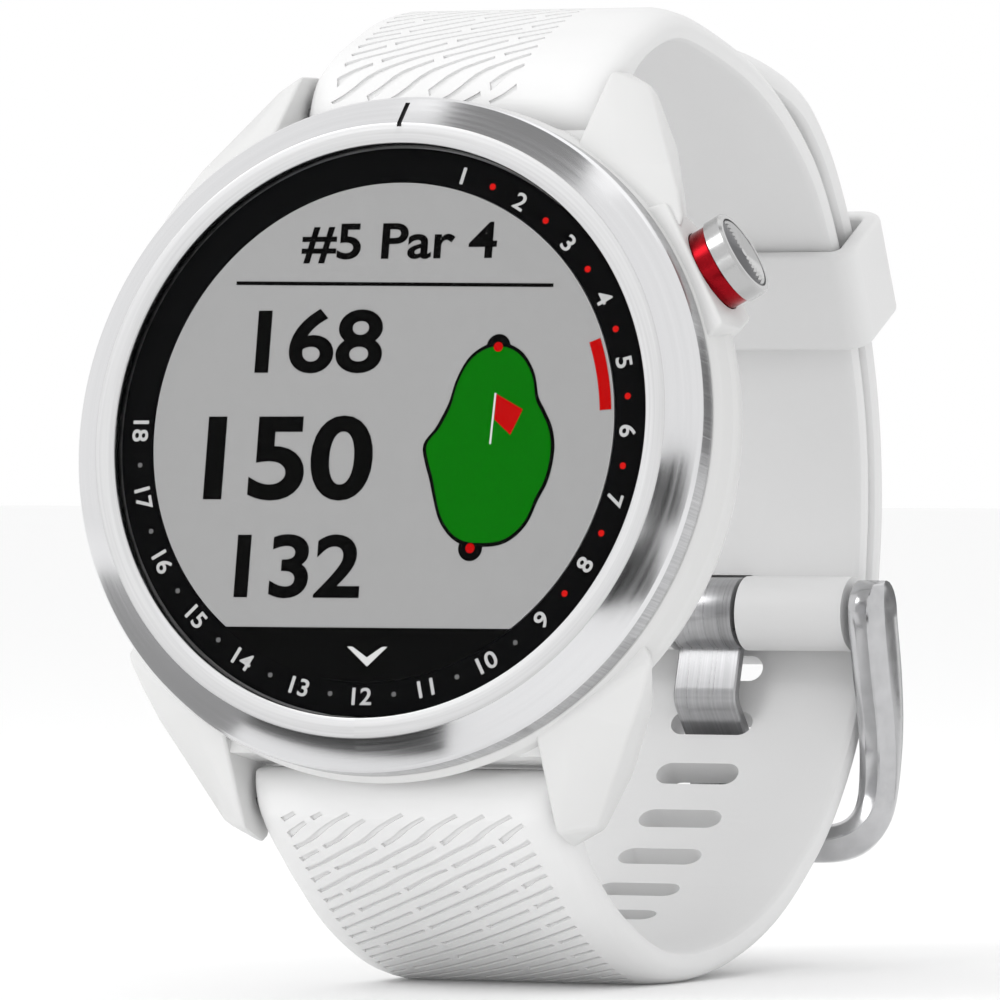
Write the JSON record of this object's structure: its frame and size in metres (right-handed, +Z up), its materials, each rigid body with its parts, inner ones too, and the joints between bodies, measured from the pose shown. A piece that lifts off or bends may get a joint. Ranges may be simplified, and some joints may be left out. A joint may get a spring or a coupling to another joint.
{
  "type": "golf gps watch",
  "caption": "Round golf GPS watch with a steel bezel, white case and white silicone strap, standing closed on its buckled strap.",
  "frame": {"origin": "bottom centre of the whole watch's box, on the surface it stands on", "axes": "+X to three o'clock, across the strap; +Z up; the dial faces -Y and leans back 10 degrees, with the closed strap behind it"},
  "size_m": [0.043, 0.0602, 0.0603],
  "materials": {
    "white_polymer": "moulded, satin",
    "white_silicone": "moulded, matt, fine grooves",
    "brushed_steel": "brushed with polished edges",
    "polished_steel": "polished, turned face",
    "lens_glass": "clear, polished",
    "black_print": "printed under the glass",
    "display_face": "reflective display",
    "red_anodised": "anodised, bright",
    "black_seal": "matt",
    "black_frame": "moulded, matt",
    "board_laminate": "solder resist",
    "cell_foil": "foil",
    "gold_plate": "plated"
  },
  "bodies": {
    "watch_head": {"case_body": "white_polymer", "bezel": "brushed_steel", "glass": "lens_glass", "numeral_ring": "black_print", "display_panel": "display_face", "glass_gasket": "black_seal", "display_frame": "black_frame", "antenna_ring": "gold_plate", "main_board": "board_laminate", "shield_can": "cell_foil", "battery": "cell_foil", "vibration_motor": "brushed_steel", "button_switch": "black_frame", "back_cover": "brushed_steel", "back_gasket": "black_seal", "back_screw_1": "brushed_steel", "back_screw_2": "brushed_steel", "back_screw_3": "brushed_steel", "back_screw_4": "brushed_steel", "charging_socket": "black_frame", "charging_pin_1": "gold_plate", "charging_pin_2": "gold_plate", "charging_pin_3": "gold_plate", "charging_pin_4": "gold_plate", "button_collar": "red_anodised", "button_seal": "black_seal", "spring_bar_upper": "brushed_steel", "spring_bar_lower": "brushed_steel", "strap_upper": "white_silicone", "strap_lower": "white_silicone", "buckle_pin": "brushed_steel"},
    "button": {"button_cap": "polished_steel", "button_clip": "brushed_steel"},
    "lever_upper": {"release_lever_upper": "brushed_steel"},
    "lever_lower": {"release_lever_lower": "brushed_steel"},
    "keeper": {"strap_keeper": "white_silicone"},
    "buckle": {"buckle_frame": "brushed_steel"},
    "tongue": {"buckle_tongue": "brushed_steel"}
  },
  "joints": [
    {"name": "button_press", "type": "slide", "parent": "watch_head", "child": "button", "axis": [-0.866, -0.087, -0.4924], "range_m": [0, 0.0005], "stiffness_N_per_m": 600, "springref_m": -0.001},
    {"name": "release_upper", "type": "slide", "parent": "watch_head", "child": "lever_upper", "axis": [-1, 0, 0], "range_m": [0, 0.001], "stiffness_N_per_m": 300, "springref_m": -0.001},
    {"name": "release_lower", "type": "slide", "parent": "watch_head", "child": "lever_lower", "axis": [-1, 0, 0], "range_m": [0, 0.001], "stiffness_N_per_m": 300, "springref_m": -0.001},
    {"name": "keeper_slide", "type": "hinge", "parent": "watch_head", "child": "keeper", "pos_m": [-0.00027, -0.00169, 0.03068], "axis": [1, 0, 0], "range_deg": [-6, 6]},
    {"name": "buckle_hinge", "type": "hinge", "parent": "watch_head", "child": "buckle", "pos_m": [-0.00027, 0.02461, 0.0224], "axis": [1, 0, 0], "range_deg": [-1, 1]},
    {"name": "tongue_hinge", "type": "hinge", "parent": "watch_head", "child": "tongue", "pos_m": [-0.00027, 0.02461, 0.0224], "axis": [1, 0, 0], "range_deg": [-0.5, 0.5]}
  ]
}
